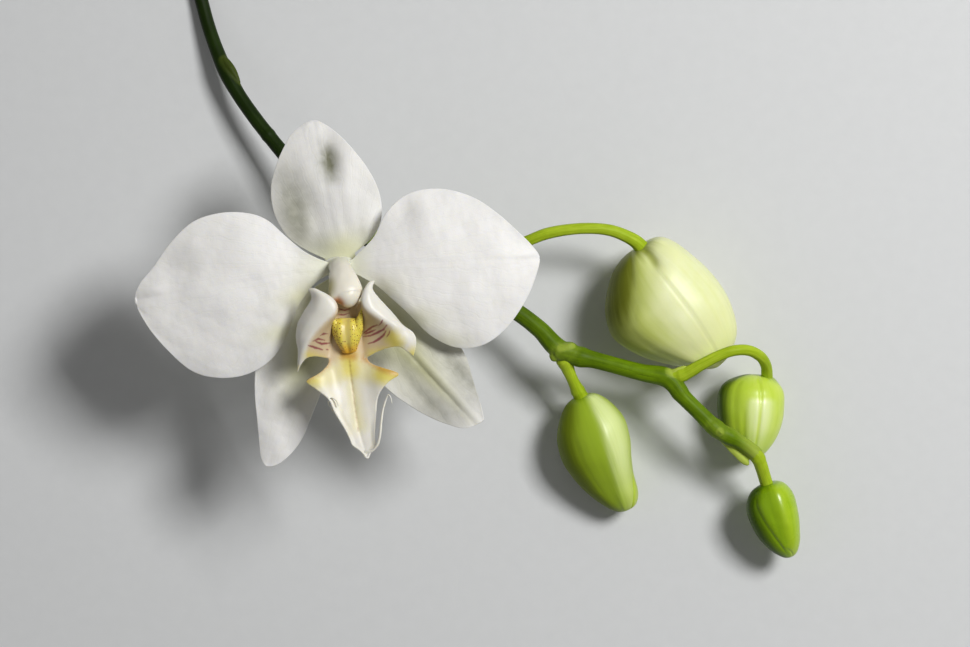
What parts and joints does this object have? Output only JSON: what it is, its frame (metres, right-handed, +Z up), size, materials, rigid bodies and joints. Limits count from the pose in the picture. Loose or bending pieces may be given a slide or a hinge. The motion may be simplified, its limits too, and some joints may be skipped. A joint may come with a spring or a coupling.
{
  "type": "moth orchid flower",
  "caption": "Cut moth orchid spray lying on its back: an open flower with broad petals, sepals and a lobed lip with tendrils, on a curved stem with stalked oval buds.",
  "frame": {"origin": "on the surface that the spray lies on, under the middle of its bounding box", "axes": "+X from the open flower towards the last bud, +Y towards the flower's upper sepal and the stem's cut end, +Z up, the way the open flower faces"},
  "size_m": [0.1364, 0.1292, 0.0491],
  "materials": {
    "petal_white": "waxy white petal",
    "lip_white": "white lip flushed yellow",
    "column_cream": "smooth creamy flesh",
    "stem_green": "smooth green stem skin",
    "bud_pale": "waxy pale yellow-green bud skin",
    "bud_green": "waxy green bud skin"
  },
  "bodies": {
    "root": {"dorsal_sepal": "petal_white", "left_sepal": "petal_white", "right_sepal": "petal_white", "left_petal": "petal_white", "right_petal": "petal_white", "lip": "lip_white", "column": "column_cream", "anther_cap": "column_cream", "flower_stalk": "stem_green", "spike": "stem_green", "bud_stalk_1": "stem_green", "bud_stalk_2": "stem_green", "bud_stalk_3": "stem_green", "bud_stalk_4": "stem_green", "bud_1": "bud_pale", "bud_2": "bud_green", "bud_3": "bud_green", "bud_4": "bud_green"}
  },
  "joints": []
}
